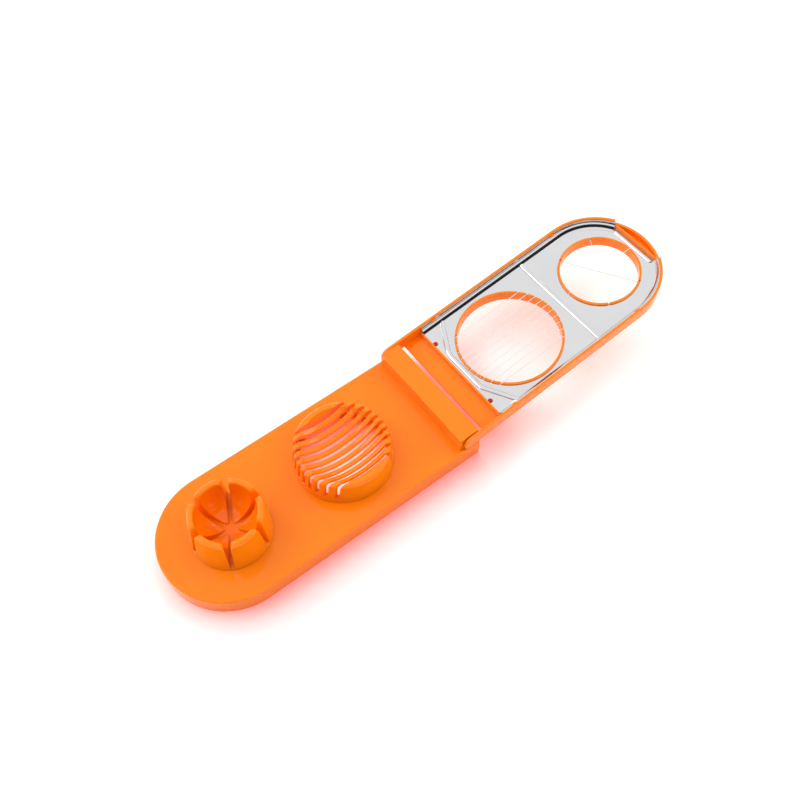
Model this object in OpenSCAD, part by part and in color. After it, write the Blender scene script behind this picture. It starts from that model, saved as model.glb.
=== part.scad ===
// Two-way egg slicer, opened out: base with slicing bed and wedge cup, hinged wire cover.
// X runs along the tool with the hinge axis at X 0, Y runs across, Z is up from the table.

/* [Base] */
// Width of the base and of the cover
base_w = 80; // [70:1:95]
// Height of the base top above the table
base_h = 13; // [10:0.5:18]
// Hinge axis to the centre of the rounded base end
tail_dist = 140; // [130:1:155]
// Wall thickness of the base moulding
base_wall = 2; // [1.6:0.1:3]
// Rounding of the base top edge
edge_r = 0.8; // [0.4:0.1:1.4]

/* [Hinge] */
// Height of the hinge axis above the base top
hinge_rise = 5; // [4.6:0.1:7]
// Half length of the hinge block along X
block_half = 6.6; // [6:0.1:8]
// Height of the hinge block above the base top
block_h = 10.4; // [9.6:0.1:14]
// Gap between the hinge block end and the cover arm
arm_gap = 0.6; // [0.3:0.1:0.8]
// Radius of the hinge pins
pin_r = 1.5; // [1.2:0.1:2]
// Running clearance round a hinge pin
pin_clear = 0.05; // [0.03:0.01:0.1]
// Angle the open cover rises from level
open_tilt = 6.9; // [0:0.1:12]

/* [Slicing bed] */
// Hinge axis to the centre of the slicing bed
bed_dist = 62.3; // [58:0.1:68]
// Outer radius of the bed at its foot
bed_r = 29.4; // [26:0.1:30]
// Height of the bed above the base top
bed_h = 16; // [12:0.5:20]
// Number of wire slots
slot_count = 10; // [6:1:12]
// Spacing of the slots and of the wires
slot_pitch = 4.7; // [3.6:0.1:5]
// Width of one slot
slot_w = 2; // [1.4:0.1:2.6]

/* [Wedge cup] */
// Hinge axis to the centre of the wedge cup
cup_dist = 137.6; // [130:0.1:145]
// Outer radius of the cup at its foot
cup_r = 23.3; // [20:0.1:24]
// Height of the cup above the base top
cup_h = 24; // [18:0.2:26]
// Width of a slot between two petals
petal_gap = 3.1; // [2:0.1:3.6]

/* [Cover] */
// Height of the cover side wall
cover_h = 8.6; // [7.6:0.1:11]
// Thickness of the cover side wall
cover_wall = 1.6; // [1.2:0.1:1.9]
// Hinge axis to the centre of the rounded cover end
tip_dist = 134; // [128:1:145]
// Gap left between cover rim and base top when shut
shut_gap = 0.2; // [0.1:0.05:0.5]
// How much further from the hinge the large hole lies than the bed
hole_l_shift = 0.7; // [0:0.1:1]
// How much nearer the hinge the small hole lies than the cup
hole_s_shift = 0.7; // [0:0.1:0.8]
// Inner radius of the large ring
ring_l_r = 31.8; // [28:0.1:34]
// Inner radius of the small ring
ring_s_r = 24.5; // [21:0.1:27]
// Thickness of the rings
ring_wall = 1.4; // [1:0.1:2]
// How far the rings stand out on the back of the cover
ring_drop = 3; // [1:0.5:6]

/* [Metal tray] */
// Thickness of the steel sheet
sheet = 0.5; // [0.3:0.1:0.9]
// Top of the steel floor above the back of the cover
sheet_top = 3; // [2.6:0.1:4]
// Radius of the wires
wire_r = 0.25; // [0.15:0.05:0.4]

/* [Hidden] */
$fn = 96;
e = 0.01;
half_w = base_w / 2;
base_end = block_half;
hinge_z = base_h + hinge_rise;
block_top = base_h + block_h;
block_y = half_w - cover_wall - arm_gap;
// the rim sits this far from the hinge axis, so the shut cover stops just above the base top
rim_off = hinge_rise - shut_gap;
// hinge axis height measured in the cover's own frame, zero at the back of the cover
axis_h = cover_h - rim_off;
pin_len = 6;
spigot_drop = 4;
bed_top_r = bed_r - 1.5;
bed_top = base_h + bed_h;
bed_spigot_r = bed_r - 2.2;
bed_wall = 1.8;
rim_w = 3;
// the slots end this high, below the wires of the shut cover
slot_floor = base_h + 4.3;
// wires run this high in the cover frame and come down just below the dish of the bed
wire_h = sheet_top + 0.3;
dish_low = base_h + shut_gap + cover_h - wire_h + 0.35;
dish_r = 34;
dish_thick = 2;
cup_top = base_h + cup_h;
petal_round = 1.3;
cup_top_r = cup_r - 2.7;
cup_spigot_r = cup_r - 2.2;
bowl_r = 17;
bowl_z = base_h + 2 + bowl_r;
cup_floor = base_h + 1.5;
cover_floor = sheet_top - sheet;
ring_top = sheet_top + 0.9;
hole_l = bed_dist + hole_l_shift;
hole_s = cup_dist - hole_s_shift;
notch_w = 1.3;
front_edge = block_half + 4.6;
rib_s = front_edge + 12.4;
rib_t = 1.2;
rib_h = sheet_top + 0.8;
panel_h = 1.2;
chord_s = tip_dist + 33.3;
chord_top = 5.8;
lift_half = 19.5;
flange_top = cover_h - 0.6;
sheet_fit = 0.1;
bead_r = 1.1;
bead_up = 0.5;
rivet_s = rib_s + rib_t + 1.2;
rivet_y = 25.7;
rivet_r = 0.9;
lugs = [rib_s + 10.5, tip_dist - 3];
plastic = [1, 0.52, 0.08];
steel = [0.85, 0.86, 0.88];

// places cover geometry: local X along the cover, Z up from its back
module in_cover() {
  translate([0, 0, hinge_z]) rotate([0, -open_tilt, 0]) translate([0, 0, -axis_h]) children();
}

// long body with a round end at -X and a flat end at x1, top edge rounded by er
module pill_body(dist, r, x1, z0, z1, er) {
  translate([-dist, 0, 0]) rotate_extrude() {
    translate([0, z0]) square([r, z1 - z0 - er]);
    translate([0, z0]) square([r - er, z1 - z0]);
    translate([r - er, z1 - er]) circle(er);
  }
  translate([-dist, 0, 0]) rotate([90, 0, 90]) linear_extrude(dist + x1) {
    translate([-r, z0]) square([2 * r, z1 - z0 - er]);
    translate([-r + er, z0]) square([2 * (r - er), z1 - z0]);
    for (s = [-1, 1]) translate([s * (r - er), z1 - er]) circle(er);
  }
}

// hinge block with rounded top edges, its length along Y
module block_shape(half, y, z0, z1, er) {
  translate([0, y, 0]) rotate([90, 0, 0]) linear_extrude(2 * y) {
    translate([-half, z0]) square([2 * half, z1 - z0 - er]);
    translate([-half + er, z0]) square([2 * (half - er), z1 - z0]);
    for (s = [-1, 1]) translate([s * (half - er), z1 - er]) circle(er);
  }
}

module base_tray() {
  color(plastic) difference() {
    union() {
      difference() {
        pill_body(tail_dist, half_w, base_end, 0, base_h, edge_r);
        // hollow underside
        translate([-tail_dist, 0, -e]) cylinder(r = half_w - base_wall, h = base_h - base_wall + e);
        translate([-tail_dist, -half_w + base_wall, -e])
          cube([tail_dist + base_end - base_wall, base_w - 2 * base_wall, base_h - base_wall + e]);
      }
      block_shape(block_half, block_y, base_h - base_wall, block_top, edge_r);
      // sockets that hold the bed and the cup
      translate([-bed_dist, 0, base_h - spigot_drop - base_wall])
        cylinder(r = bed_spigot_r + base_wall, h = spigot_drop + base_wall - 0.5);
      translate([-cup_dist, 0, base_h - spigot_drop - base_wall])
        cylinder(r = cup_spigot_r + base_wall, h = spigot_drop + base_wall - 0.5);
      // stiffening ribs under the top plate
      for (s = [-1, 1]) translate([-tail_dist, s * (half_w - 9) - 0.8, 6])
        cube([tail_dist, 1.6, base_h - 7]);
      for (x = [-bed_dist + bed_r + 4, -bed_dist - bed_r - 4])
        translate([x - 0.8, -half_w + base_wall - e, 6])
          cube([1.6, base_w - 2 * base_wall + 2 * e, base_h - 7]);
      // web under the block that stands on the table
      translate([-0.9, -half_w + base_wall - e, 0]) cube([1.8, base_w - 2 * base_wall + 2 * e, base_h - 1]);
    }
    translate([-bed_dist, 0, -e]) cylinder(r = bed_spigot_r, h = base_h + 1);
    translate([-cup_dist, 0, -e]) cylinder(r = cup_spigot_r, h = base_h + 1);
    // two hollows inside the block, with a web between them and solid hinge ends
    for (x = [-block_half + base_wall, 0.9]) translate([x, -block_y + 10, -e])
      cube([block_half - base_wall - 0.9, 2 * block_y - 20, block_top - base_wall + e]);
    // hinge bores
    for (s = [-1, 1]) translate([0, s * (block_y + e), hinge_z]) rotate([s * 90, 0, 0])
      cylinder(r = pin_r + pin_clear, h = pin_len + 0.5);
  }
}

module egg_bed() {
  slot_span = slot_pitch * (slot_count - 1) / 2;
  color(plastic) translate([-bed_dist, 0, 0]) difference() {
    union() {
      difference() {
        union() {
          translate([0, 0, base_h]) cylinder(r1 = bed_r, r2 = bed_top_r, h = bed_h);
          translate([0, 0, base_h - spigot_drop]) cylinder(r = bed_spigot_r - 0.05, h = spigot_drop + e);
        }
        // hollow inside the foot
        translate([0, 0, base_h - spigot_drop - e]) cylinder(r = bed_r - 4.4, h = spigot_drop + 1.6);
        // hollow under the dish, following its curve
        translate([0, 0, base_h + 1.5]) intersection() {
          cylinder(r1 = bed_r - bed_wall - 0.2, r2 = bed_top_r - bed_wall, h = bed_h);
          cylinder(r = bed_r, h = bed_h - 3.3);
          difference() {
            translate([-bed_r, -bed_r, 0]) cube([2 * bed_r, 2 * bed_r, bed_h]);
            translate([0, 0, dish_low + dish_r - base_h - 1.5]) sphere(r = dish_r + dish_thick, $fn = 128);
          }
        }
      }
    }
    // dish for the egg: shallow sphere inside a sloping wall
    intersection() {
      translate([0, 0, dish_low + dish_r]) sphere(r = dish_r, $fn = 128);
      translate([0, 0, base_h])
        cylinder(r1 = bed_top_r - rim_w - bed_h, r2 = bed_top_r - rim_w, h = bed_h + e);
    }
    // wire slots, open right through the dish and down the wall
    for (i = [0 : slot_count - 1]) translate([0, i * slot_pitch - slot_span, 0]) {
      translate([-bed_r - 1, -slot_w / 2, slot_floor]) cube([2 * bed_r + 2, slot_w, bed_h]);
      translate([0, 0, slot_floor - 6]) intersection() {
        translate([-bed_r, -slot_w / 2, 0]) cube([2 * bed_r, slot_w, bed_h]);
        cylinder(r = bed_r - 4.4, h = bed_h);
      }
    }
    // bevel on the outer ends of the ribs
    intersection() {
      translate([-bed_r - 1, -slot_span, bed_top - 4]) cube([2 * bed_r + 2, 2 * slot_span, 5]);
      translate([0, 0, bed_top - 2.4]) difference() {
        cylinder(r = bed_r + 2, h = 3);
        translate([0, 0, -e]) cylinder(r1 = bed_top_r + 0.2, r2 = bed_top_r - 1.6, h = 3.2);
      }
    }
  }
}

module wedge_cup() {
  color(plastic) translate([-cup_dist, 0, 0]) difference() {
    union() {
      // petals: tapered wall with a rounded top
      rotate_extrude() difference() {
        union() {
          polygon([[0, base_h], [cup_r, base_h], [cup_top_r, cup_top - petal_round],
                   [cup_top_r - petal_round, cup_top], [0, cup_top]]);
          translate([cup_top_r - petal_round, cup_top - petal_round]) circle(petal_round);
        }
        // bowl between the petals, rounded over at the rim
        translate([0, bowl_z]) circle(bowl_r);
        translate([0, bowl_z]) square([bowl_r, cup_h]);
        difference() {
          translate([0, cup_top - petal_round]) square([bowl_r + petal_round, petal_round + 1]);
          translate([bowl_r + petal_round, cup_top - petal_round]) circle(petal_round);
        }
        translate([-40, 0]) square([40, 80]);
      }
      translate([0, 0, base_h - spigot_drop]) cylinder(r = cup_spigot_r - 0.05, h = spigot_drop + e);
    }
    // six slots, flared at the top where the petals are rounded
    for (a = [0 : 60 : 120]) rotate([0, 0, a]) rotate([90, 0, 90]) translate([0, 0, -30]) linear_extrude(60)
      polygon([[-petal_gap / 2, cup_floor], [petal_gap / 2, cup_floor],
               [petal_gap / 2 + 0.3, cup_top - 2], [petal_gap / 2 + 1.9, cup_top + 0.1],
               [-petal_gap / 2 - 1.9, cup_top + 0.1], [-petal_gap / 2 - 0.3, cup_top - 2]]);
    // hollow under the floor
    translate([0, 0, base_h - spigot_drop - e]) cylinder(r = cup_spigot_r - 2, h = spigot_drop - 1);
  }
}

// two stub pins, one through each cover arm into the block
module hinge_pins() {
  color(steel) for (s = [-1, 1])
    translate([0, s * (block_y + arm_gap + cover_wall - 0.5), hinge_z]) rotate([s * 90, 0, 0])
      cylinder(r = pin_r, h = pin_len + arm_gap + cover_wall - 0.5);
}

// outline of the cover drawn with a margin inwards
module cover_outline(inset, from) {
  translate([tip_dist, 0]) circle(half_w - inset);
  translate([from, -half_w + inset]) square([tip_dist - from, base_w - 2 * inset]);
}

module ring_cut(s, r, h0, h1) {
  translate([s, 0, h0]) cylinder(r = r, h = h1 - h0);
}

module cover_frame() {
  inner = half_w - cover_wall;
  slot_span = slot_pitch * (slot_count - 1) / 2;
  ring_l_out = ring_l_r + ring_wall + 0.4;
  color(plastic) in_cover() difference() {
    union() {
      // side walls with the rounded end, and the two hinge arms
      difference() {
        union() {
          linear_extrude(cover_h) cover_outline(0, 0);
          translate([0, half_w, axis_h]) rotate([90, 0, 0]) cylinder(r = rim_off, h = base_w);
        }
        translate([0, 0, cover_floor]) linear_extrude(cover_h) cover_outline(cover_wall, rib_s + rib_t);
        translate([-20, -inner, -5]) cube([front_edge + 20, 2 * inner, cover_h + 10]);
        translate([front_edge - e, -inner, panel_h]) cube([rib_s - front_edge, 2 * inner, cover_h]);
        translate([front_edge, -inner, rib_h]) cube([tip_dist - front_edge, 2 * inner, cover_h]);
        // front of the arms below the hinge round
        translate([-20, -half_w - 1, -1]) difference() {
          cube([20, base_w + 2, cover_h + 2]);
          translate([20, 0, axis_h + 1]) rotate([-90, 0, 0]) cylinder(r = rim_off, h = base_w + 2);
        }
        // lowered rim for the finger lift, and its pocket
        translate([tip_dist + 25, -lift_half, chord_top + 0.2]) cube([20, 2 * lift_half, cover_h]);
      }
      // cross wall that closes the tray at the tip
      intersection() {
        translate([chord_s, -half_w, 0]) cube([1.4, base_w, chord_top]);
        linear_extrude(cover_h) cover_outline(0.5, 0);
      }
      // rings round the two holes
      ring_cut(hole_l, ring_l_r + ring_wall, -ring_drop, ring_top);
      ring_cut(hole_s, ring_s_r + ring_wall, -ring_drop, ring_top);
      // lugs that hold the steel tray down
      for (s = [-1, 1], x = lugs) translate([x - 1.6, s > 0 ? inner - 1.1 : -inner - 0.2, cover_h - 1.8])
        cube([3.2, 1.3, 1]);
    }
    ring_cut(hole_l, ring_l_r, -ring_drop - 1, ring_top + 1);
    ring_cut(hole_s, ring_s_r, -ring_drop - 1, ring_top + 1);
    // notches for the slicing wires
    for (i = [0 : slot_count - 1]) translate([hole_l, i * slot_pitch - slot_span, wire_h]) {
      rotate([0, 90, 0]) translate([0, 0, -ring_l_out]) cylinder(r = wire_r + 0.02, h = 2 * ring_l_out);
      translate([-ring_l_out, -notch_w / 2, 0]) cube([2 * ring_l_out, notch_w, 2]);
    }
    // notches for the crossing wires
    for (i = [0 : 2]) translate([hole_s, 0, wire_h - i * 2.1 * wire_r]) rotate([0, 0, i * 60]) {
      rotate([0, 90, 0]) translate([0, 0, -ring_s_r - ring_wall - 0.4])
        cylinder(r = wire_r + 0.02, h = 2 * (ring_s_r + ring_wall + 0.4));
      translate([-ring_s_r - ring_wall - 0.4, -notch_w / 2, 0])
        cube([2 * (ring_s_r + ring_wall + 0.4), notch_w, 3]);
    }
    // seats for the tray rivets and the hinge pins
    for (s = [-1, 1]) {
      translate([rivet_s, s * rivet_y, -1]) cylinder(r = rivet_r, h = cover_floor + 1 + e);
      translate([0, s * (half_w - 0.5), axis_h]) rotate([s * 90, 0, 0]) cylinder(r = pin_r, h = 4);
    }
  }
}

// outline of a pressed bead that runs through a list of points, its corners a little wider
module bead_path(points) {
  for (p = points) translate(p) circle(bead_r + 0.08);
  for (i = [1 : len(points) - 1]) {
    d = points[i] - points[i - 1];
    translate(points[i - 1]) rotate(atan2(d[1], d[0])) translate([0, -bead_r]) square([norm(d), 2 * bead_r]);
  }
}

module metal_tray() {
  out = cover_wall + sheet_fit;
  start = rib_s + rib_t + sheet_fit;
  color(steel) in_cover() difference() {
    union() {
      difference() {
        translate([0, 0, cover_floor]) linear_extrude(flange_top - cover_floor) cover_outline(out, start);
        translate([0, 0, sheet_top]) linear_extrude(cover_h) cover_outline(out + sheet, start - 1);
      }
      // pressed beads: round the large hole, between the holes and at the tip
      translate([0, 0, cover_floor + sheet / 2]) linear_extrude(sheet / 2 + bead_up) {
        bead_path([[rib_s + 15.5, half_w - 4.2], [rib_s + 4, 15],
                   [rib_s + 4, -15], [rib_s + 15.5, -half_w + 4.2]]);
        bead_path([[hole_l + 41, half_w - 4.2], [hole_l + 41, -half_w + 4.2]]);
        bead_path([[chord_s - 1.5, 15], [chord_s - 1.5, -15]]);
      }
    }
    // square end behind the cross wall
    translate([chord_s - sheet_fit, -half_w, 0]) cube([30, base_w, 20]);
    ring_cut(hole_l, ring_l_r + ring_wall + sheet_fit, -1, 20);
    ring_cut(hole_s, ring_s_r + ring_wall + sheet_fit, -1, 20);
    for (s = [-1, 1]) {
      translate([rivet_s, s * rivet_y, -1]) cylinder(r = rivet_r, h = 20);
      // windows for the lugs
      for (x = lugs) translate([x - 2, s * (half_w - 3) - 3, cover_h - 2.1]) cube([4, 6, 5]);
    }
  }
}

module tray_rivets() {
  color([0.75, 0.08, 0.04]) in_cover() for (s = [-1, 1]) translate([rivet_s, s * rivet_y, 0]) {
    cylinder(r = rivet_r, h = sheet_top + e);
    // domed head, flat on the side of the cross rib
    translate([0, 0, sheet_top]) difference() {
      cylinder(r1 = 1.6, r2 = 1.2, h = 0.7);
      translate([-3 - 1.15, -3, -1]) cube([3, 6, 3]);
    }
  }
}

module slice_wire(n) {
  y = (n - (slot_count + 1) / 2) * slot_pitch;
  half = sqrt(pow(ring_l_r + ring_wall, 2) - y * y) - 0.15;
  color(steel) in_cover() translate([hole_l - half, y, wire_h]) rotate([0, 90, 0])
    cylinder(r = wire_r, h = 2 * half);
}

module wedge_wire(n) {
  half = ring_s_r + ring_wall - 0.15;
  color(steel) in_cover() translate([hole_s, 0, wire_h - (n - 1) * 2.1 * wire_r])
    rotate([0, 0, (n - 1) * 60]) rotate([0, 90, 0]) translate([0, 0, -half])
      cylinder(r = wire_r, h = 2 * half);
}

base_tray();
egg_bed();
wedge_cup();
hinge_pins();
cover_frame();
metal_tray();
tray_rivets();
slice_wire(1);  // slice_wire_1
slice_wire(2);  // slice_wire_2
slice_wire(3);  // slice_wire_3
slice_wire(4);  // slice_wire_4
slice_wire(5);  // slice_wire_5
slice_wire(6);  // slice_wire_6
slice_wire(7);  // slice_wire_7
slice_wire(8);  // slice_wire_8
slice_wire(9);  // slice_wire_9
slice_wire(10);  // slice_wire_10
wedge_wire(1);  // wedge_wire_1
wedge_wire(2);  // wedge_wire_2
wedge_wire(3);  // wedge_wire_3
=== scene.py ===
import math

import bmesh
import bpy
import numpy as np
from mathutils import Matrix, Vector


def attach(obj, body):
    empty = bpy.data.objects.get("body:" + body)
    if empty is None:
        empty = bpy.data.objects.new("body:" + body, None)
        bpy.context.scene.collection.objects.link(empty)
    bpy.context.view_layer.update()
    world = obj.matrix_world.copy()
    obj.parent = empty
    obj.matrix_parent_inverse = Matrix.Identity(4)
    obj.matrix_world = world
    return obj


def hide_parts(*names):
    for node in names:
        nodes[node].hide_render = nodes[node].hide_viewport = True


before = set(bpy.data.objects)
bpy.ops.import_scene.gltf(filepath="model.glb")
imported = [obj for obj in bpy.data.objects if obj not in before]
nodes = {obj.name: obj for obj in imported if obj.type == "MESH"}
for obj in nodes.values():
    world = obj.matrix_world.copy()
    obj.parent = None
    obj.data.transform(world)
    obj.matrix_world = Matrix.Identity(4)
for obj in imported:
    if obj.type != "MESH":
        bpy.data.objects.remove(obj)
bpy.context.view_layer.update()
print("frame loaded,", len(nodes), "parts")

mm = 0.001                     # shapes are worked out in millimetres, the scene is in metres
hingeHeight = 18.0             # hinge axis above the table
openTilt = math.radians(6.9)   # the open cover rises from level


# small helpers for node trees
def addNode(tree, kind, place, **settings):
    n = tree.nodes.new(kind)
    n.location = place
    for key, value in settings.items():
        setattr(n, key, value)
    return n


def setInputs(node, **values):
    for key, value in values.items():
        node.inputs[key.replace("_", " ")].default_value = value


def newGroup(name, inputs, outputs):
    # a shader node group with named sockets: inputs as (name, kind, default), outputs as (name, kind)
    g = bpy.data.node_groups.new(name, "ShaderNodeTree")
    for label, kind, default in inputs:
        s = g.interface.new_socket(label, in_out="INPUT", socket_type=kind)
        s.default_value = default
    for label, kind in outputs:
        g.interface.new_socket(label, in_out="OUTPUT", socket_type=kind)
    start = addNode(g, "NodeGroupInput", (-700, 0))
    end = addNode(g, "NodeGroupOutput", (700, 0))
    return g, start, end


# effects shared by the materials
def makeMottleGroup():
    # soft cloudy change of colour, as in a moulded part: a noise mixes two colours
    inputs = [("Light", "NodeSocketColor", (1, 1, 1, 1)), ("Deep", "NodeSocketColor", (0, 0, 0, 1)),
              ("Scale", "NodeSocketFloat", 30.0), ("Amount", "NodeSocketFloat", 0.5)]
    g, start, end = newGroup("mottle", inputs, [("Color", "NodeSocketColor")])
    coords = addNode(g, "ShaderNodeTexCoord", (-900, -200))
    noise = addNode(g, "ShaderNodeTexNoise", (-450, -100))
    setInputs(noise, Detail=3.0, Roughness=0.5)
    spread = addNode(g, "ShaderNodeMapRange", (-220, -100))
    setInputs(spread, From_Min=0.35, From_Max=0.65)
    part = addNode(g, "ShaderNodeMath", (0, -100), operation="MULTIPLY")
    mix = addNode(g, "ShaderNodeMix", (250, 0), data_type="RGBA")
    g.links.new(coords.outputs["Object"], noise.inputs["Vector"])
    g.links.new(start.outputs["Scale"], noise.inputs["Scale"])
    g.links.new(noise.outputs["Fac"], spread.inputs["Value"])
    g.links.new(spread.outputs["Result"], part.inputs[0])
    g.links.new(start.outputs["Amount"], part.inputs[1])
    g.links.new(part.outputs[0], mix.inputs["Factor"])
    g.links.new(start.outputs["Light"], mix.inputs["A"])
    g.links.new(start.outputs["Deep"], mix.inputs["B"])
    g.links.new(mix.outputs["Result"], end.inputs["Color"])
    return g


def makeHandlingGroup():
    # roughness of a handled gloss surface: base + smudge * broad noise + scratch * thin stretched noise
    inputs = [("Base", "NodeSocketFloat", 0.2), ("Smudge", "NodeSocketFloat", 0.05),
              ("Scratch", "NodeSocketFloat", 0.05)]
    g, start, end = newGroup("handling", inputs, [("Roughness", "NodeSocketFloat")])
    coords = addNode(g, "ShaderNodeTexCoord", (-900, -200))
    smudge = addNode(g, "ShaderNodeTexNoise", (-450, 200))
    setInputs(smudge, Scale=55.0, Detail=4.0, Roughness=0.6)
    turn = addNode(g, "ShaderNodeMapping", (-700, -300))
    turn.inputs["Rotation"].default_value = (0.3, 0.2, 0.7)
    turn.inputs["Scale"].default_value = (60.0, 2600.0, 700.0)
    scratch = addNode(g, "ShaderNodeTexNoise", (-450, -300))
    setInputs(scratch, Scale=1.0, Detail=2.0)
    thin = addNode(g, "ShaderNodeMapRange", (-220, -300))
    setInputs(thin, From_Min=0.62, From_Max=0.78)
    smudged = addNode(g, "ShaderNodeMath", (0, 200), operation="MULTIPLY_ADD")
    scratched = addNode(g, "ShaderNodeMath", (250, 0), operation="MULTIPLY_ADD")
    g.links.new(coords.outputs["Object"], smudge.inputs["Vector"])
    g.links.new(coords.outputs["Object"], turn.inputs["Vector"])
    g.links.new(turn.outputs["Vector"], scratch.inputs["Vector"])
    g.links.new(scratch.outputs["Fac"], thin.inputs["Value"])
    g.links.new(smudge.outputs["Fac"], smudged.inputs[0])
    g.links.new(start.outputs["Smudge"], smudged.inputs[1])
    g.links.new(start.outputs["Base"], smudged.inputs[2])
    g.links.new(thin.outputs["Result"], scratched.inputs[0])
    g.links.new(start.outputs["Scratch"], scratched.inputs[1])
    g.links.new(smudged.outputs[0], scratched.inputs[2])
    g.links.new(scratched.outputs[0], end.inputs["Roughness"])
    return g


def makeSkinGroup():
    # height of a moulded skin: wave * slow noise for the sink + peel * very fine noise
    inputs = [("Wave", "NodeSocketFloat", 0.5), ("Peel", "NodeSocketFloat", 0.1)]
    g, start, end = newGroup("mouldedSkin", inputs, [("Height", "NodeSocketFloat")])
    coords = addNode(g, "ShaderNodeTexCoord", (-900, 0))
    wave = addNode(g, "ShaderNodeTexNoise", (-450, 150))
    setInputs(wave, Scale=45.0, Detail=1.0)
    peel = addNode(g, "ShaderNodeTexNoise", (-450, -150))
    setInputs(peel, Scale=900.0, Detail=1.0)
    sunk = addNode(g, "ShaderNodeMath", (-150, 150), operation="MULTIPLY")
    peeled = addNode(g, "ShaderNodeMath", (150, 0), operation="MULTIPLY_ADD")
    g.links.new(coords.outputs["Object"], wave.inputs["Vector"])
    g.links.new(coords.outputs["Object"], peel.inputs["Vector"])
    g.links.new(wave.outputs["Fac"], sunk.inputs[0])
    g.links.new(start.outputs["Wave"], sunk.inputs[1])
    g.links.new(peel.outputs["Fac"], peeled.inputs[0])
    g.links.new(start.outputs["Peel"], peeled.inputs[1])
    g.links.new(sunk.outputs[0], peeled.inputs[2])
    g.links.new(peeled.outputs[0], end.inputs["Height"])
    return g


mottle = makeMottleGroup()
handling = makeHandlingGroup()
mouldedSkin = makeSkinGroup()


def placeGroup(tree, group, place, **values):
    n = addNode(tree, "ShaderNodeGroup", place, node_tree=group)
    for key, value in values.items():
        n.inputs[key].default_value = value
    return n


# materials
def addCoat(tree, shader, look):
    # what both materials share: colour, roughness and a fine relief, each from its own group
    colour = placeGroup(tree, mottle, (-700, 300), Light=look["light"], Deep=look["deep"],
                        Scale=look["cloudScale"], Amount=look["clouds"])
    gloss = placeGroup(tree, handling, (-700, 0), Base=look["roughness"],
                       Smudge=look["smudge"], Scratch=look["scratch"])
    skin = placeGroup(tree, mouldedSkin, (-700, -300), Wave=look["wave"], Peel=look["peel"])
    bump = addNode(tree, "ShaderNodeBump", (-350, -300))
    setInputs(bump, Strength=look["relief"], Distance=look["reliefDepth"])
    tree.links.new(colour.outputs["Color"], shader.inputs["Base Color"])
    tree.links.new(gloss.outputs["Roughness"], shader.inputs["Roughness"])
    tree.links.new(skin.outputs["Height"], bump.inputs["Height"])
    tree.links.new(bump.outputs["Normal"], shader.inputs["Normal"])
    return bump


plasticLook = {
    "light": (1.0, 0.235, 0.002, 1),
    "deep": (0.98, 0.215, 0.001, 1),
    "cloudScale": 28.0,
    "clouds": 0.6,
    "roughness": 0.04,
    "smudge": 0.04,
    "scratch": 0.05,
    "wave": 0.5,
    "peel": 0.02,
    "relief": 0.25,
    "reliefDepth": 0.0004,
    "specular": 0.32,
    "sheenThrough": 0.35,       # light that scatters inside the thin walls
    "throughDistance": 0.004,
    "throughColour": (1.0, 0.35, 0.05),
    "edgeWidth": 0.0006,        # softened edges that catch the light
}


def makePlastic(name, look):
    m = bpy.data.materials.new(name)
    m.use_nodes = True
    t = m.node_tree
    shader = t.nodes["Principled BSDF"]
    setInputs(shader, Subsurface_Weight=look["sheenThrough"], Subsurface_Scale=look["throughDistance"],
              Subsurface_Radius=look["throughColour"], Specular_IOR_Level=look["specular"])
    bump = addCoat(t, shader, look)
    edge = addNode(t, "ShaderNodeBevel", (-550, -450), samples=4)
    setInputs(edge, Radius=look["edgeWidth"])
    t.links.new(edge.outputs["Normal"], bump.inputs["Normal"])
    return m


steelLook = {
    "light": (0.74, 0.74, 0.75, 1),
    "deep": (0.70, 0.70, 0.71, 1),
    "cloudScale": 60.0,
    "clouds": 0.5,
    "roughness": 0.05,
    "smudge": 0.05,
    "scratch": 0.08,
    "wave": 0.35,
    "peel": 0.0,
    "relief": 0.2,
    "reliefDepth": 0.0003,
}


def makeSteel(name, look):
    m = bpy.data.materials.new(name)
    m.use_nodes = True
    shader = m.node_tree.nodes["Principled BSDF"]
    setInputs(shader, Metallic=1.0)
    addCoat(m.node_tree, shader, look)
    return m


# painted shade: the rivet heads are the orange plastic with its colour darkened to deep red, the shade they
# sit in behind the ridge
shadedRivetLook = {**plasticLook, "light": (0.55, 0.008, 0.004, 1), "deep": (0.4, 0.004, 0.002, 1)}
wireLook = {**steelLook, "light": (0.92, 0.92, 0.92, 1), "deep": (0.84, 0.84, 0.85, 1), "roughness": 0.3}
orangePlastic = makePlastic("orangePlastic", plasticLook)
shadedRivetPlastic = makePlastic("shadedRivetPlastic", shadedRivetLook)
polishedSteel = makeSteel("polishedSteel", steelLook)
wireSteel = makeSteel("wireSteel", wireLook)
print("materials ready")


def dress(obj, material):
    obj.data.materials.clear()
    obj.data.materials.append(material)


for name, obj in nodes.items():
    if name.startswith(("slice_wire", "wedge_wire", "hinge_pins")):
        dress(obj, wireSteel)
    elif name == "metal_tray":
        dress(obj, polishedSteel)
    # the rivets get the orange plastic darkened by painted shade
    elif name == "tray_rivets":
        dress(obj, shadedRivetPlastic)
    else:
        dress(obj, orangePlastic)


# pieces worked out on grids; faces are kept as blocks, each an array of faces with equal corner counts
def linkMesh(name, points, blocks, material, body, replaced=()):
    mesh = bpy.data.meshes.new(name)
    mesh.from_pydata(points.tolist(), [], [face for block in blocks for face in block.tolist()])
    mesh.update()
    mesh.polygons.foreach_set("use_smooth", np.ones(len(mesh.polygons), bool))
    mesh.materials.append(material)
    obj = bpy.data.objects.new(name, mesh)
    bpy.context.scene.collection.objects.link(obj)
    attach(obj, body)
    if replaced:
        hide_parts(*replaced)
    return obj


def gridFaces(rows, cols, closeCols=True):
    # quads of a grid of points stored row by row; the last column joins the first when closed
    r = np.arange(rows - 1)[:, None] * cols
    c = np.arange(cols if closeCols else cols - 1)[None, :]
    n = (c + 1) % cols
    return np.stack([r + c, r + n, r + cols + n, r + cols + c], -1).reshape(-1, 4)


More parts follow.
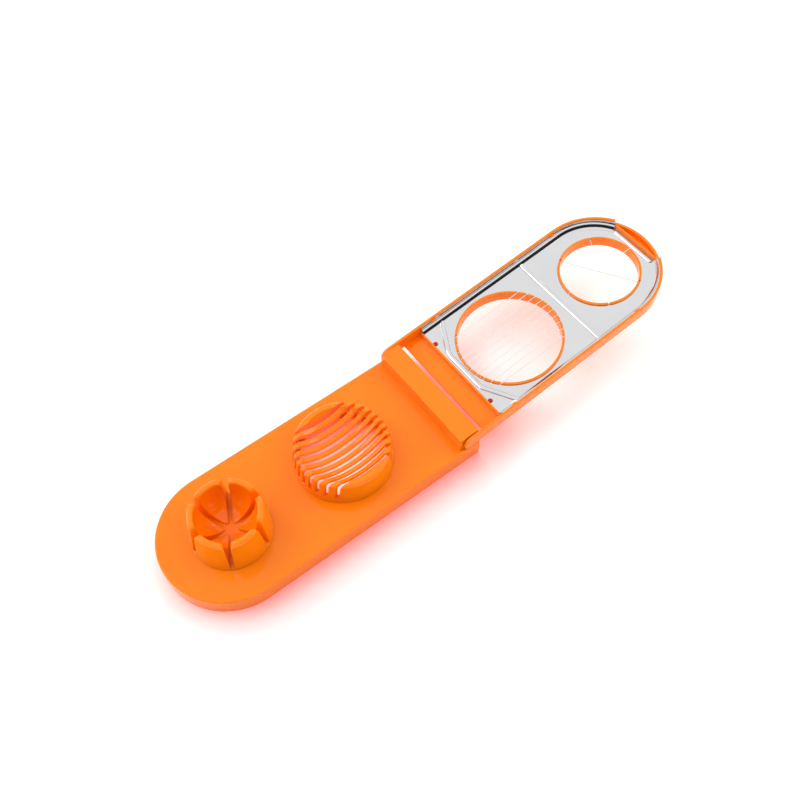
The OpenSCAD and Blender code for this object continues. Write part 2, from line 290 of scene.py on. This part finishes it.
def tubeFaces(rows, cols, firstEnd=-1):
    # a closed grid's quads and one face over each of its two ends;
    # firstEnd is 1 or -1, the way round in which the first end's corners are listed
    end = np.arange(cols)[None, :]
    return [gridFaces(rows, cols), end[:, ::firstEnd], end + (rows - 1) * cols]


def joinParts(parts):
    # several (points, blocks) as one mesh: each part's faces are numbered on from the last one's points
    first = np.cumsum([0] + [len(points) for points, blocks in parts])
    joined = [block + start for (points, blocks), start in zip(parts, first) for block in blocks]
    return np.concatenate([points for points, blocks in parts]), joined


def insetLoop(loop, d):
    # closed loop of points, run counter-clockwise, moved inwards by d along its normals,
    # and by up to 1.6 d at corners
    ahead = np.roll(loop, -1, 0) - loop
    behind = loop - np.roll(loop, 1, 0)
    t = ahead / np.maximum(np.linalg.norm(ahead, axis=1, keepdims=True), 1e-9)
    u = behind / np.maximum(np.linalg.norm(behind, axis=1, keepdims=True), 1e-9)
    m = t + u
    m /= np.maximum(np.linalg.norm(m, axis=1, keepdims=True), 1e-9)
    normal = np.stack([-m[:, 1], m[:, 0]], 1)
    widen = np.clip(1 / np.maximum((normal * np.stack([-t[:, 1], t[:, 0]], 1)).sum(1), 0.5), 1, 1.6)
    return loop + normal * (d * widen)[:, None]


def arcPoints(centre, radius, start, stop, count):
    a = np.radians(np.linspace(start, stop, count))
    return np.stack([centre[0] + radius * np.cos(a), centre[1] + radius * np.sin(a)], 1)


def line(a, b, count):
    t = np.linspace(0, 1, count)[:, None]
    return np.array(a) + t * (np.array(b) - np.array(a))


def joinRuns(*runs):
    # runs of points end to end, without repeating the shared ones
    pts = np.concatenate(runs)
    keep = np.ones(len(pts), bool)
    keep[1:] = np.linalg.norm(np.diff(pts, axis=0), axis=1) > 1e-4
    pts = pts[keep]
    if np.linalg.norm(pts[0] - pts[-1]) < 1e-4:
        pts = pts[:-1]
    return pts


def carryBetweenPlanes(loop, look, count):
    # a profile (radius, height) carried round the axis between two slot planes:
    # angle = half span - asin((slot + offset) / radius); at both ends the profile
    # shrinks along a quarter circle, so the edges are round, and the corners at the top drop
    edge = look["edge"]
    turnIn = np.radians(np.linspace(0, 90, 6))
    inset = np.concatenate([[edge + 0.1], edge * (1 - np.sin(turnIn))])
    offset = np.concatenate([[0.0], edge * (1 - np.cos(turnIn))])
    halfSpan = math.radians(look["halfSpan"])
    rise = look["top"] - look["floor"]
    rings = []

    def ring(d, e, share):
        p = insetLoop(loop, d)
        r, z = np.maximum(p[:, 0], 0.05), p[:, 1]
        slot = look["slotHalf"] + look["flare"] * np.clip((z - look["floor"]) / rise, 0, 1)
        full = halfSpan - np.arcsin(np.clip(slot / r, -1, 1))
        phi = share * (halfSpan - np.arcsin(np.clip((slot + e) / r, -1, 1)))
        near = (full - np.abs(phi)) * r
        c = look["cornerDrop"]
        drop = c - np.sqrt(np.clip(c * c - np.clip(c - near, 0, c) ** 2, 0, None))
        w = np.clip((z - look["top"] + look["cornerReach"]) / look["cornerReach"], 0, 1)
        z = z - drop * w * w * (3 - 2 * w)
        return np.stack([r * np.cos(phi), r * np.sin(phi), z], 1)

    for d, e in zip(inset, offset):
        rings.append(ring(d, e, -1.0))
    for s in np.sin(np.linspace(-np.pi / 2, np.pi / 2, count))[1:-1]:
        rings.append(ring(0.0, edge, s))
    for d, e in zip(inset[::-1], offset[::-1]):
        rings.append(ring(d, e, 1.0))
    return np.concatenate(rings), tubeFaces(len(rings), len(loop))


def turned(points, degrees, centre):
    a = math.radians(degrees)
    m = np.array([[math.cos(a), -math.sin(a), 0], [math.sin(a), math.cos(a), 0], [0, 0, 1]])
    return points @ m.T + np.array([centre[0], centre[1], 0])


def lathe(profile, centre, steps=96):
    # profile (radius, height) spun about the vertical through centre; radius 0 ends are poles
    a = np.linspace(0, 2 * np.pi, steps, endpoint=False)
    r, z = profile[:, 0], profile[:, 1]
    x, y = centre[0] + r[:, None] * np.cos(a), centre[1] + r[:, None] * np.sin(a)
    pts = np.stack([x, y, np.repeat(z[:, None], steps, 1)], -1)
    return pts.reshape(-1, 3), [gridFaces(len(profile), steps)]


def tidyMesh(obj, sharpAngle=None):
    # welds doubles, turns all faces outwards and marks sharp edges
    bm = bmesh.new()
    bm.from_mesh(obj.data)
    bmesh.ops.remove_doubles(bm, verts=bm.verts, dist=1e-6)
    bmesh.ops.recalc_face_normals(bm, faces=bm.faces)
    bm.to_mesh(obj.data)
    bm.free()
    if sharpAngle:
        obj.data.set_sharp_from_angle(angle=math.radians(sharpAngle))


cupShape = {
    "centre": (-137.6, 0.0), "base": 12.9, "floor": 14.5, "top": 37.0,
    "footRadius": 23.3, "topRadius": 20.6, "bowlRadius": 17.0, "bowlHeight": 32.0,
    "lip": 1.3, "slotHalf": 1.25, "flare": 0.6, "halfSpan": 30, "edge": 0.5,
    "cornerDrop": 3.2, "cornerReach": 6.0, "petals": 6, "tipGap": 0.25,
    "socketInner": 19.1, "socketOuter": 21.05, "socketFoot": 9.0, "plateUnder": 12.0, "plateSeat": 12.99,
}


def makeCup(c):
    # profile of a petal: out along the foot, up the tapered wall, over the lip and down the bowl
    tip = 2 * (c["slotHalf"] + c["edge"]) + c["tipGap"]
    start = -90 + math.degrees(math.asin(tip / c["bowlRadius"]))
    lean = math.degrees(math.atan2(c["footRadius"] - c["topRadius"], c["top"] - c["lip"] - c["base"]))
    bowl = arcPoints((0, c["bowlHeight"]), c["bowlRadius"], start, 0, 24)
    lipZ = c["top"] - c["lip"]
    over = arcPoints((c["topRadius"] - c["lip"], lipZ), c["lip"], lean, 90, 8)
    down = arcPoints((c["bowlRadius"] + c["lip"], lipZ), c["lip"], 90, 180, 8)
    foot, root = (c["footRadius"], c["base"]), (tip, c["base"])
    loop = joinRuns(line(root, foot, 14), line(foot, over[0], 14), over, down,
                    line(down[-1], bowl[-1], 4), bowl[::-1], line(bowl[0], root, 3))
    pts, blocks = carryBetweenPlanes(loop, c, 19)
    step = 360 / c["petals"]
    petals = [(turned(pts, step * (i + 0.5), c["centre"]), blocks) for i in range(c["petals"])]
    pts, blocks = joinParts(petals)
    tidyMesh(linkMesh("cupPetals", pts * mm, blocks, orangePlastic, "base", ["wedge_cup"]))
    # the floor under them: a plate with a softened rim, and the ring that stands in the base's socket
    wide, top = c["footRadius"], c["floor"]
    plate = np.array([(0.0, c["plateUnder"]), (c["socketInner"], c["plateUnder"]),
                      (c["socketInner"], c["socketFoot"]), (c["socketOuter"], c["socketFoot"]),
                      (c["socketOuter"], c["plateSeat"]), (wide, c["plateSeat"]),
                      (wide, top - 0.4), (wide - 0.15, top - 0.1), (wide - 0.4, top), (0.0, top)])
    pts, blocks = lathe(plate, c["centre"])
    tidyMesh(linkMesh("cupFloor", pts * mm, blocks, orangePlastic, "base"), 40)
    print("cup:", c["petals"], "petals and their floor")


makeCup(cupShape)

bedShape = {
    "centre": (-62.3, 0.0), "base": 13.0, "top": 29.0, "footRadius": 29.4, "topRadius": 27.9,
    "shoulder": 1.9, "rimInner": 24.2, "dishRadius": 34.0, "dishCentre": 52.85, "thick": 2.0,
    "ringTop": 17.3, "ribs": 9, "pitch": 4.7, "slotHalf": 0.95, "edge": 0.4, "sink": 0.15,
    "wallInner": 27.2, "wallBend": ((26.4, 26.6), (25.4, 27.0)),    # (radius, height) inside the wall
    "socketInner": 25.0, "socketOuter": 27.15, "socketFoot": 9.0, "ledge": 14.6,
}


def outerProfile(b, start):
    # outside of the bed as (radius, height): the tapered wall, then a quarter round shoulder
    taper = (b["footRadius"] - b["topRadius"]) / (b["top"] - b["base"])
    low = b["footRadius"] - taper * (start - b["base"])
    bend = arcPoints((b["topRadius"] - b["shoulder"], b["top"] - b["shoulder"]), b["shoulder"], 3, 90, 9)
    return joinRuns(line((low, start), bend[0], 7), bend, line(bend[-1], (b["rimInner"], b["top"]), 4))


def ribLoop(b, y):
    # section of the bed at a distance y from its middle: x = sqrt(radius^2 - y^2),
    # and inside the rim the dish height = centre - sqrt(dishRadius^2 - x^2 - y^2)
    low = b["ringTop"] - b["sink"]
    outer = outerProfile(b, low)
    right = np.stack([np.sqrt(outer[:, 0] ** 2 - y * y), outer[:, 1]], 1)
    across = np.sqrt(b["rimInner"] ** 2 - y * y) * np.cos(np.linspace(0, np.pi, 41))
    dish = np.stack([across, b["dishCentre"] - np.sqrt(b["dishRadius"] ** 2 - across ** 2 - y * y)], 1)
    dish[:, 1] += b["top"] - dish[0, 1]
    left = right[::-1] * [-1, 1]
    inner = np.array([(b["wallInner"], low), *b["wallBend"]])
    inner[:, 0] = np.sqrt(inner[:, 0] ** 2 - y * y)
    back = inner[-1, 0] * np.cos(np.linspace(np.pi, 0, 41))[1:-1]
    under = b["dishCentre"] - np.sqrt((b["dishRadius"] + b["thick"]) ** 2 - back ** 2 - y * y)
    belly = np.stack([back, under], 1)
    return joinRuns(right, dish, left, inner * [-1, 1], belly, inner[::-1])


def makeRib(b, middle):
    # the section is carried across the rib's width; at both sides it shrinks along a quarter circle
    half, edge = b["pitch"] / 2 - b["slotHalf"], b["edge"]
    turnIn = np.radians(np.linspace(0, 90, 5))
    inset = edge * (1 - np.sin(turnIn))
    offset = half - edge * (1 - np.cos(turnIn))
    steps = [(-o, d) for o, d in zip(offset, inset)] + [(o, d) for o, d in zip(offset[::-1], inset[::-1])]
    rings = []
    for o, d in steps:
        p = insetLoop(ribLoop(b, middle + o), d)
        rings.append(np.stack([b["centre"][0] + p[:, 0], np.full(len(p), middle + o), p[:, 1]], 1))
    return np.concatenate(rings), tubeFaces(len(rings), len(rings[0]))


def makeCrescent(b, side):
    # the bed beyond the last slot: outside and dish rows run between the ends of the slot plane,
    # x = share * sqrt(radius^2 - plane^2), y = sqrt(radius^2 - x^2)
    plane = b["pitch"] * b["ribs"] / 2 + b["slotHalf"]
    radius = np.linspace(b["rimInner"], plane, 7)[1:]
    low = b["dishCentre"] - np.sqrt(b["dishRadius"] ** 2 - b["rimInner"] ** 2)
    dish = b["dishCentre"] - np.sqrt(b["dishRadius"] ** 2 - radius ** 2) + b["top"] - low
    rows = np.concatenate([outerProfile(b, b["ringTop"] - b["sink"]), np.stack([radius, dish], 1)])
    share = np.sin(np.linspace(-np.pi / 2, np.pi / 2, 33))
    x = share[None, :] * np.sqrt(np.clip(rows[:, :1] ** 2 - plane ** 2, 0, None))
    y = np.sqrt(rows[:, :1] ** 2 - x ** 2)
    z = np.repeat(rows[:, 1:], len(share), 1)
    pts = np.stack([b["centre"][0] + x, side * y, z], -1).reshape(-1, 3)
    cols = len(share)
    down = np.arange(len(rows)) * cols
    slotFace = np.concatenate([down, down[-2::-1] + cols - 1])[None, :]
    return pts, [gridFaces(len(rows), cols, closeCols=False), slotFace, np.arange(cols)[None, :]]


def makeBed(b):
    middles = (np.arange(b["ribs"]) - (b["ribs"] - 1) / 2) * b["pitch"]
    parts = [makeRib(b, middle) for middle in middles] + [makeCrescent(b, 1), makeCrescent(b, -1)]
    pts, blocks = joinParts(parts)
    tidyMesh(linkMesh("bedRibs", pts * mm, blocks, orangePlastic, "base", ["egg_bed"]), 38)
    # the foot under them: a wall on the base's top, and the ring that stands in the base's socket
    foot, top = b["footRadius"], b["ringTop"]
    ringWall = np.array([(b["socketInner"], b["socketFoot"]), (b["socketOuter"], b["socketFoot"]),
                         (b["socketOuter"], b["base"]), (foot, b["base"]), (foot - 0.36, top - 0.2),
                         (foot - 0.55, top), (b["wallInner"], top), (b["wallInner"], b["ledge"]),
                         (b["socketInner"], b["ledge"]), (b["socketInner"], b["socketFoot"])])
    pts, blocks = lathe(ringWall, b["centre"], 128)
    tidyMesh(linkMesh("bedFoot", pts * mm, blocks, orangePlastic, "base"), 30)
    print("bed:", b["ribs"], "ribs, two crescents and the foot")


makeBed(bedShape)

trayShape = {
    "halfWidth": 40.0, "inset": 2.2, "tip": 134.0, "end": 167.2, "start": 25.0, "floor": 3.0,
    "topLean": 28.0, "bendLean": 50.0, "topBend": 11.4, "footBend": 1.34, "backHeight": 3.8,
    "liningWall": 0.15, "liningSole": 0.1,
}


def coverToRow(p):
    # the open cover's own frame (along, across, height) turned up about the hinge axis, in metres
    c, s = math.cos(openTilt), math.sin(openTilt)
    along, high = p[..., 0], p[..., 2] - trayShape["backHeight"]
    x, z = along * c - high * s, hingeHeight + along * s + high * c
    return np.stack([x, p[..., 1], z], -1) * mm


def linkSteel(name, grid, sharpAngle):
    # a closed grid of points in the cover's own frame, as a piece of the steel tray
    rows, cols = grid.shape[:2]
    points = coverToRow(grid).reshape(-1, 3)
    blocks = tubeFaces(rows, cols, firstEnd=1)
    obj = linkMesh(name, points, blocks, polishedSteel, "cover")
    tidyMesh(obj, sharpAngle)


def roundedPath(corners, reach):
    # straight runs between the corners, each inner corner replaced by a curve between
    # the points p and q on its two sides: (1 - t)^2 p + 2 t (1 - t) corner + t^2 q
    out = [np.array([corners[0]])]
    t = np.linspace(0, 1, 9)[:, None]
    for a, corner, b in zip(corners, corners[1:], corners[2:]):
        a, corner, b = np.array(a), np.array(corner), np.array(b)
        p = corner + (a - corner) / np.linalg.norm(a - corner) * reach
        q = corner + (b - corner) / np.linalg.norm(b - corner) * reach
        out.append((1 - t) ** 2 * p + 2 * t * (1 - t) * corner + t ** 2 * q)
    out.append(np.array([corners[-1]]))
    return np.concatenate(out)


ridgeShape = {
    "half": 1.6, "high": 0.8, "fullness": 3.4, "bend": 3.0, "sink": 0.2,
    "paths": {
        "ridgeByHinge": [(39.1, 35.8), (27.6, 15), (27.6, -15), (39.1, -35.8)],
        "ridgeMiddle": [(103.3, 35.6), (103.3, 0), (103.3, -35.6)],
        "ridgeTip": [(165.3, 15), (165.3, 0), (165.3, -15)],
    },
}


def makeRidge(name, corners, look):
    # pressed ridge along a path: height = high * (1 - (distance / half width)^fullness), with round ends
    path = roundedPath(corners, look["bend"])
    half, floor = look["half"], trayShape["floor"]
    ahead = np.gradient(path, axis=0)
    ahead /= np.linalg.norm(ahead, axis=1, keepdims=True)
    cap = half * np.sin(np.radians(np.linspace(0, 90, 8)))[1:]
    middle = np.concatenate([path[0] - ahead[0] * cap[::-1, None], path, path[-1] + ahead[-1] * cap[:, None]])
    heading = np.concatenate([np.repeat(ahead[:1], len(cap), 0), ahead, np.repeat(ahead[-1:], len(cap), 0)])
    beyond = np.concatenate([cap[::-1], np.zeros(len(path)), cap])
    side = np.stack([-heading[:, 1], heading[:, 0]], 1)
    v = np.sin(np.linspace(-np.pi / 2, np.pi / 2, 17))
    off = v[None, :] * np.sqrt(np.clip(half ** 2 - beyond ** 2, 0, None))[:, None]
    far = np.clip(np.sqrt(off ** 2 + beyond[:, None] ** 2) / half, 0, 1)
    rise = floor + look["high"] * (1 - far ** look["fullness"])
    flat = middle[:, None, :] + side[:, None, :] * off[..., None]
    upper = np.concatenate([flat, rise[..., None]], -1)
    lower = np.concatenate([flat[:, ::-1], np.full(off.shape + (1,), floor - look["sink"])], -1)
    linkSteel(name, np.concatenate([upper, lower], 1), 60)


def makeFlangeLining(name, side, s):
    # hollow lining between the tray floor and its flange, carried along the side and round the tip:
    # two arcs of radius topBend and footBend, given by the lean of the surface's normal
    wall = s["halfWidth"] - s["inset"]
    lean = np.radians(np.linspace(s["topLean"], s["bendLean"], 9))
    upper = s["topBend"] * np.stack([np.cos(lean[0]) - np.cos(lean), -np.sin(lean)], 1)
    lean = np.radians(np.linspace(s["bendLean"], 90, 9))
    bend = np.stack([np.cos(lean[0]) - np.cos(lean), np.sin(lean[0]) - np.sin(lean)], 1)
    lower = upper[-1] + s["footBend"] * bend
    curve = np.concatenate([upper, lower[1:]])
    curve[:, 1] -= curve[-1, 1]
    across = np.concatenate([curve[:, 0], [curve[-1, 0], -s["liningWall"], -s["liningWall"]]])
    up = np.concatenate([curve[:, 1], [-s["liningSole"], -s["liningSole"], curve[0, 1]]])
    last = math.degrees(math.acos((s["end"] - s["tip"]) / wall))
    turn = np.radians(np.linspace(90, last, 40))
    straight = np.linspace(s["start"], s["tip"], 12)[:-1]
    origin = np.concatenate([straight, np.full(len(turn), s["tip"])])
    heading = np.concatenate([np.full(len(straight), np.pi / 2), turn])
    reach = wall - across[None, :]
    x = origin[:, None] + reach * np.cos(heading)[:, None]
    y = side * reach * np.sin(heading)[:, None]
    pts = np.stack([np.minimum(x, s["end"]), y, np.repeat(s["floor"] + up[None, :], len(origin), 0)], -1)
    linkSteel(name, pts, 50)


for name, corners in ridgeShape["paths"].items():
    makeRidge(name, corners, ridgeShape)
makeFlangeLining("liningFar", 1, trayShape)
makeFlangeLining("liningNear", -1, trayShape)
print("tray: three ridges and two hollow edges")

# stage, light and camera
floorLook = {
    "light": (0.97, 0.97, 0.97, 1),
    "deep": (0.95, 0.95, 0.95, 1),
    "cloudScale": 6.0,
    "clouds": 0.3,
    "paintedGlowColour": (1.0, 0.13, 0.11, 1),    # painted glow: pink painted on the floor near the object, in place of light thrown down through the orange plastic
    "paintedGlowReach": 0.032,
    "paintedGlowLean": (-0.1, 0.85, 0.5),         # the painted glow lies on the near side only
    "lift": 0.16,                          # the table shines a little, as a light table does
    "halfSize": 6.0,
}


def makeFloor(look):
    m = bpy.data.materials.new("paleFloor")
    m.use_nodes = True
    t = m.node_tree
    shader = t.nodes["Principled BSDF"]
    setInputs(shader, Roughness=0.9, Specular_IOR_Level=0.1, Emission_Strength=look["lift"])
    colour = placeGroup(t, mottle, (-700, 200), Light=look["light"], Deep=look["deep"],
                        Scale=look["cloudScale"], Amount=look["clouds"])
    # painted glow: the floor's colour turns pink where ambient occlusion finds the object near, standing in
    # for bounced orange light
    near = addNode(t, "ShaderNodeAmbientOcclusion", (-700, -100), samples=16)
    setInputs(near, Distance=look["paintedGlowReach"])
    lean = addNode(t, "ShaderNodeCombineXYZ", (-900, -100))
    for axis, value in zip("XYZ", Vector(look["paintedGlowLean"]).normalized()):
        lean.inputs[axis].default_value = value
    paintedGlowTint = addNode(t, "ShaderNodeMix", (-300, 100), data_type="RGBA")
    paintedGlowTint.inputs["A"].default_value = look["paintedGlowColour"]
    t.links.new(lean.outputs["Vector"], near.inputs["Normal"])
    t.links.new(near.outputs["AO"], paintedGlowTint.inputs["Factor"])
    t.links.new(colour.outputs["Color"], paintedGlowTint.inputs["B"])
    t.links.new(paintedGlowTint.outputs["Result"], shader.inputs["Base Color"])
    # the floor's slight shine takes the same colour, so the painted pink glow also gives off light
    t.links.new(paintedGlowTint.outputs["Result"], shader.inputs["Emission Color"])
    size = look["halfSize"]
    mesh = bpy.data.meshes.new("floor")
    corners = [(-size, -size, 0), (size, -size, 0), (size, size, 0), (-size, size, 0)]
    mesh.from_pydata(corners, [], [(0, 1, 2, 3)])
    mesh.materials.append(m)
    obj = bpy.data.objects.new("floor", mesh)
    bpy.context.scene.collection.objects.link(obj)


skyLook = {
    "strength": 1.0,
    "nearSide": (-0.3, -0.95, 0),
    # greys from straight down (0) to straight up (1): two dark strips that the polished steel picks up
    "stops": [(0.0, 1.0), (0.455, 1.0), (0.46, 0.02), (0.55, 0.02), (0.56, 1.0), (0.64, 1.0),
              (0.65, 0.02), (0.79, 0.02), (0.80, 1.0)],
}


def makeSky(look):
    # a white room, with the dark strips hung in it on the near side only
    world = bpy.data.worlds.new("studio")
    bpy.context.scene.world = world
    world.use_nodes = True
    t = world.node_tree
    sky = t.nodes["Background"]
    setInputs(sky, Strength=look["strength"])
    way = addNode(t, "ShaderNodeTexCoord", (-1100, 0))
    height = addNode(t, "ShaderNodeSeparateXYZ", (-900, 0))
    share = addNode(t, "ShaderNodeMapRange", (-750, 0))
    setInputs(share, From_Min=-1.0, From_Max=1.0)
    band = addNode(t, "ShaderNodeValToRGB", (-600, 0))
    for i, (place, grey) in enumerate(look["stops"]):
        stop = band.color_ramp.elements[i] if i < 2 else band.color_ramp.elements.new(place)
        stop.position = place
        stop.color = (grey, grey, grey, 1)
    facing = addNode(t, "ShaderNodeVectorMath", (-900, -250), operation="DOT_PRODUCT")
    facing.inputs[1].default_value = Vector(look["nearSide"]).normalized()
    near = addNode(t, "ShaderNodeMapRange", (-600, -250))
    setInputs(near, From_Min=0.15, From_Max=0.3)
    mix = addNode(t, "ShaderNodeMix", (-250, -100), data_type="RGBA")
    mix.inputs["A"].default_value = (1, 1, 1, 1)
    t.links.new(way.outputs["Generated"], height.inputs["Vector"])
    t.links.new(height.outputs["Z"], share.inputs["Value"])
    t.links.new(share.outputs["Result"], band.inputs["Fac"])
    t.links.new(way.outputs["Generated"], facing.inputs[0])
    t.links.new(facing.outputs["Value"], near.inputs["Value"])
    t.links.new(near.outputs["Result"], mix.inputs["Factor"])
    t.links.new(band.outputs["Color"], mix.inputs["B"])
    t.links.new(mix.outputs["Result"], sky.inputs["Color"])


lampLook = {
    "keyLight": {"place": (-0.65, 0.6, 0.85), "aim": (0, 0, 0), "size": (0.8, 0.8), "power": 4.6},
    "sideLight": {"place": (0.75, -0.5, 0.6), "aim": (0, 0, 0), "size": (0.5, 0.5), "power": 2.8},
    # small lamp under the bed's ribs, shining down, which brightens the slots
    "underBed": {"place": (-0.0623, 0, 0.0135), "aim": (-0.0623, 0, 0), "size": (0.036, 0.036),
                 "power": 0.006, "colour": (1, 0.8, 0.76), "seen": False},
}


def addLamp(name, place, aim, size, power, colour=(1, 1, 1), seen=True):
    light = bpy.data.lights.new(name, "AREA")
    light.shape = "RECTANGLE"
    light.size, light.size_y = size
    light.energy = power
    light.color = colour
    obj = bpy.data.objects.new(name, light)
    bpy.context.scene.collection.objects.link(obj)
    obj.location = place
    obj.rotation_euler = (Vector(aim) - Vector(place)).to_track_quat("-Z", "Y").to_euler()
    obj.visible_camera = seen


cameraLook = {
    "azimuth": -37.511, "elevation": 58.082, "distance": 0.560722,
    "target": (-0.008158, 0.017057, 0.0), "lens": 41.066,
}


def placeCamera(look):
    # the camera stands at the distance from its target, along back, and looks along -back
    around, above = math.radians(look["azimuth"]), math.radians(look["elevation"])
    back = Vector((math.sin(around) * math.cos(above), -math.cos(around) * math.cos(above), math.sin(above)))
    right = Vector((math.cos(around), math.sin(around), 0))
    camera = bpy.data.objects.new("camera", bpy.data.cameras.new("camera"))
    camera.data.lens = look["lens"]
    camera.data.sensor_width = 36
    camera.data.clip_start = 0.01
    bpy.context.scene.collection.objects.link(camera)
    turn = Matrix((right, back.cross(right), back)).transposed().to_4x4()
    turn.translation = Vector(look["target"]) + back * look["distance"]
    camera.matrix_world = turn
    bpy.context.scene.camera = camera


makeFloor(floorLook)
makeSky(skyLook)
for name, lamp in lampLook.items():
    addLamp(name, **lamp)
placeCamera(cameraLook)
bpy.context.scene.view_settings.view_transform = "Standard"
print("stage, light and camera ready")
